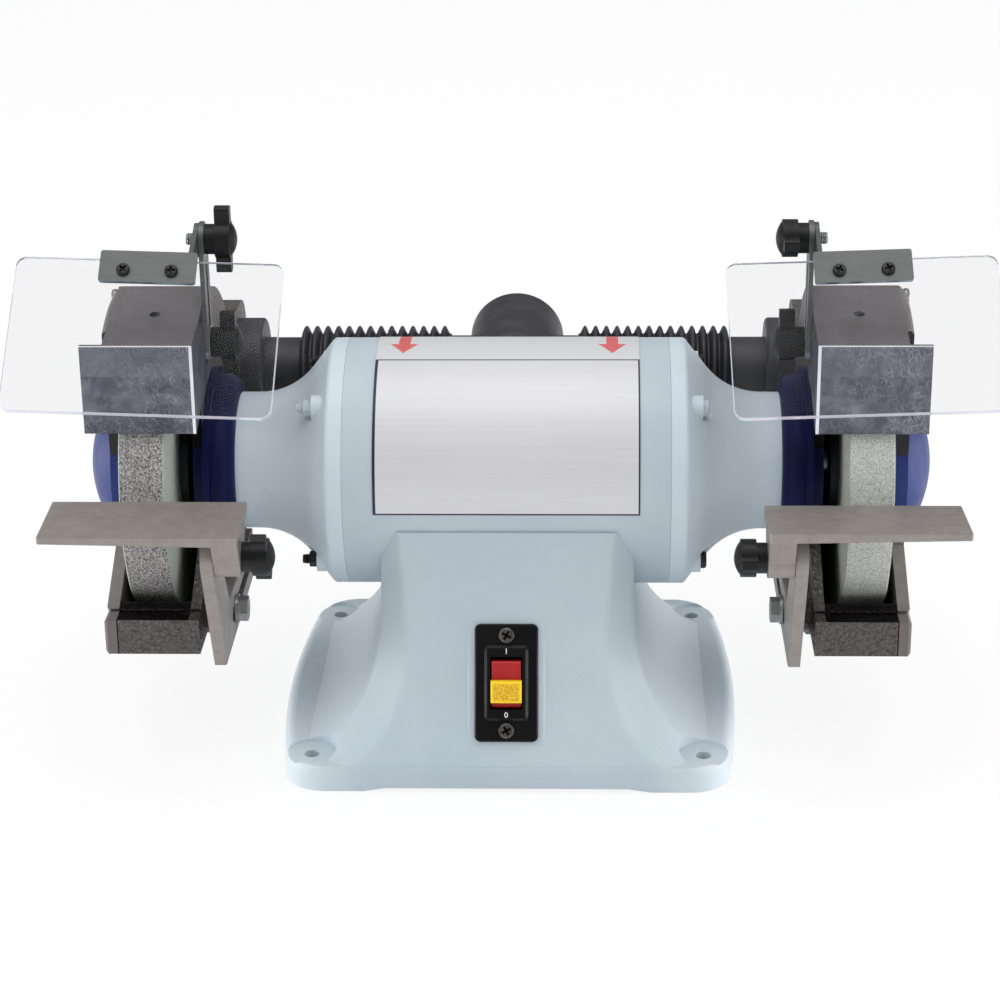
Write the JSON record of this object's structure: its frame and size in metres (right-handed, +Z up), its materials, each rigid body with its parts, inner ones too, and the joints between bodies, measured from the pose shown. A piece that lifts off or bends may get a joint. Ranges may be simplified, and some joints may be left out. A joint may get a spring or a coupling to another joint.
{
  "type": "bench grinder",
  "caption": "Pedestal bench grinder with a motor between guarded grinding wheels, eye shields, spark guards, tilting tool rests, a keyed switch and ribbed dust pipes.",
  "frame": {"origin": "centre of the pedestal's four bench bolts, on the bench face", "axes": "+X along the spindle to the user's right, +Y away from the user, +Z up"},
  "size_m": [0.5446, 0.3336, 0.32],
  "materials": {
    "machine_paint": "satin pale blue-grey paint over a casting",
    "hammertone": "dark grey hammered paint",
    "cover_grey": "grey painted casting",
    "hub_blue": "dark blue paint",
    "rest_metal": "cast, machined on top",
    "zinc": "zinc plated sheet",
    "zinc_screw": "zinc plated",
    "black_screw": "black oxide",
    "bright_screw": "plain steel",
    "clear_shield": "clear polycarbonate",
    "knob_black": "moulded black plastic",
    "dust_black": "black plastic",
    "switch_black": "black plastic",
    "rocker_red": "red plastic",
    "key_yellow": "yellow plastic",
    "coarse_stone": "coarse grey abrasive",
    "fine_stone": "fine grey abrasive",
    "turned_steel": "turned",
    "copper_wire": "enamelled copper"
  },
  "bodies": {
    "root": {"base_casting": "machine_paint", "base_cover_plate": "zinc", "capacitor": "switch_black", "cord_gland": "switch_black", "switch_plate": "switch_black", "switch_screws": "bright_screw", "motor_shell": "machine_paint", "stator_core": "turned_steel", "stator_winding": "copper_wire", "tie_bolts": "black_screw", "guard_screws": "zinc_screw", "cover_screws": "zinc_screw", "dust_manifold": "dust_black", "support_bolts": "zinc_screw", "end_bell_left": "machine_paint", "bearing_left": "turned_steel", "guard_left": "hammertone", "side_cover_left": "cover_grey", "hub_plate_left": "hub_blue", "hub_dome_left": "hub_blue", "dust_collar_left": "dust_black", "dust_hose_left": "dust_black", "end_bell_right": "machine_paint", "bearing_right": "turned_steel", "guard_right": "hammertone", "side_cover_right": "cover_grey", "hub_plate_right": "hub_blue", "hub_dome_right": "hub_blue", "dust_collar_right": "dust_black", "dust_hose_right": "dust_black"},
    "rotor": {"shaft": "turned_steel", "rotor_core": "turned_steel", "wheel_flanges": "turned_steel", "wheel_nuts": "turned_steel", "grinding_wheel_left": "coarse_stone", "grinding_wheel_right": "fine_stone"},
    "switch_rocker": {"switch_rocker": "rocker_red"},
    "switch_key": {"switch_key": "key_yellow"},
    "spark_guard_left": {"spark_guard_left": "zinc"},
    "shield_arm_left": {"shield_arm_left": "zinc"},
    "eye_shield_left": {"eye_shield_left": "clear_shield", "shield_bracket_left": "zinc", "shield_screws_left": "black_screw"},
    "pivot_knob_left": {"pivot_knob_left": "knob_black"},
    "clamp_knob_left": {"clamp_knob_left": "knob_black"},
    "rest_support_left": {"rest_support_left": "rest_metal"},
    "tool_rest_left": {"tool_rest_left": "rest_metal"},
    "rest_knob_left": {"rest_knob_left": "knob_black"},
    "spark_guard_right": {"spark_guard_right": "zinc"},
    "shield_arm_right": {"shield_arm_right": "zinc"},
    "eye_shield_right": {"eye_shield_right": "clear_shield", "shield_bracket_right": "zinc", "shield_screws_right": "black_screw"},
    "pivot_knob_right": {"pivot_knob_right": "knob_black"},
    "clamp_knob_right": {"clamp_knob_right": "knob_black"},
    "rest_support_right": {"rest_support_right": "rest_metal"},
    "tool_rest_right": {"tool_rest_right": "rest_metal"},
    "rest_knob_right": {"rest_knob_right": "knob_black"}
  },
  "joints": [
    {"name": "spindle_spin", "type": "hinge", "parent": "root", "child": "rotor", "pos_m": [0, 0, 0.157], "axis": [1, 0, 0], "continuous": true},
    {"name": "spark_guard_slide_left", "type": "slide", "parent": "root", "child": "spark_guard_left", "axis": [0, 0, 1], "range_m": [-0.002, 0.005]},
    {"name": "shield_arm_swing_left", "type": "hinge", "parent": "root", "child": "shield_arm_left", "pos_m": [-0.1684, -0.027, 0.239], "axis": [1, 0, 0], "range_deg": [-25, 4]},
    {"name": "shield_tilt_left", "type": "hinge", "parent": "shield_arm_left", "child": "eye_shield_left", "pos_m": [-0.1684, -0.031, 0.301], "axis": [1, 0, 0], "range_deg": [-45, 2]},
    {"name": "pivot_knob_turn_left", "type": "hinge", "parent": "shield_arm_left", "child": "pivot_knob_left", "pos_m": [-0.1684, -0.031, 0.301], "axis": [1, 0, 0], "continuous": true},
    {"name": "clamp_knob_turn_left", "type": "hinge", "parent": "root", "child": "clamp_knob_left", "pos_m": [-0.1684, -0.027, 0.239], "axis": [1, 0, 0], "continuous": true},
    {"name": "rest_slide_left", "type": "slide", "parent": "root", "child": "rest_support_left", "axis": [0, 1, 0], "range_m": [-0.03, 0.001]},
    {"name": "rest_tilt_left", "type": "hinge", "parent": "rest_support_left", "child": "tool_rest_left", "pos_m": [-0.1442, -0.118, 0.145], "axis": [1, 0, 0], "range_deg": [-2, 25]},
    {"name": "rest_knob_turn_left", "type": "hinge", "parent": "rest_support_left", "child": "rest_knob_left", "pos_m": [-0.1442, -0.118, 0.145], "axis": [1, 0, 0], "continuous": true},
    {"name": "spark_guard_slide_right", "type": "slide", "parent": "root", "child": "spark_guard_right", "axis": [0, 0, 1], "range_m": [-0.002, 0.005]},
    {"name": "shield_arm_swing_right", "type": "hinge", "parent": "root", "child": "shield_arm_right", "pos_m": [0.1684, -0.027, 0.239], "axis": [1, 0, 0], "range_deg": [-25, 4]},
    {"name": "shield_tilt_right", "type": "hinge", "parent": "shield_arm_right", "child": "eye_shield_right", "pos_m": [0.1684, -0.031, 0.301], "axis": [1, 0, 0], "range_deg": [-45, 2]},
    {"name": "pivot_knob_turn_right", "type": "hinge", "parent": "shield_arm_right", "child": "pivot_knob_right", "pos_m": [0.1684, -0.031, 0.301], "axis": [1, 0, 0], "continuous": true},
    {"name": "clamp_knob_turn_right", "type": "hinge", "parent": "root", "child": "clamp_knob_right", "pos_m": [0.1684, -0.027, 0.239], "axis": [1, 0, 0], "continuous": true},
    {"name": "rest_slide_right", "type": "slide", "parent": "root", "child": "rest_support_right", "axis": [0, 1, 0], "range_m": [-0.03, 0.001]},
    {"name": "rest_tilt_right", "type": "hinge", "parent": "rest_support_right", "child": "tool_rest_right", "pos_m": [0.1442, -0.118, 0.145], "axis": [1, 0, 0], "range_deg": [-2, 25]},
    {"name": "rest_knob_turn_right", "type": "hinge", "parent": "rest_support_right", "child": "rest_knob_right", "pos_m": [0.1442, -0.118, 0.145], "axis": [1, 0, 0], "continuous": true},
    {"name": "switch_rocker_throw", "type": "hinge", "parent": "root", "child": "switch_rocker", "pos_m": [0, -0.09513, 0.0579], "axis": [1, 0, 0], "range_deg": [-16, 0]},
    {"name": "switch_key_pull", "type": "slide", "parent": "switch_rocker", "child": "switch_key", "axis": [0, -0.9693, 0.2457], "range_m": [0, 0.012]}
  ]
}
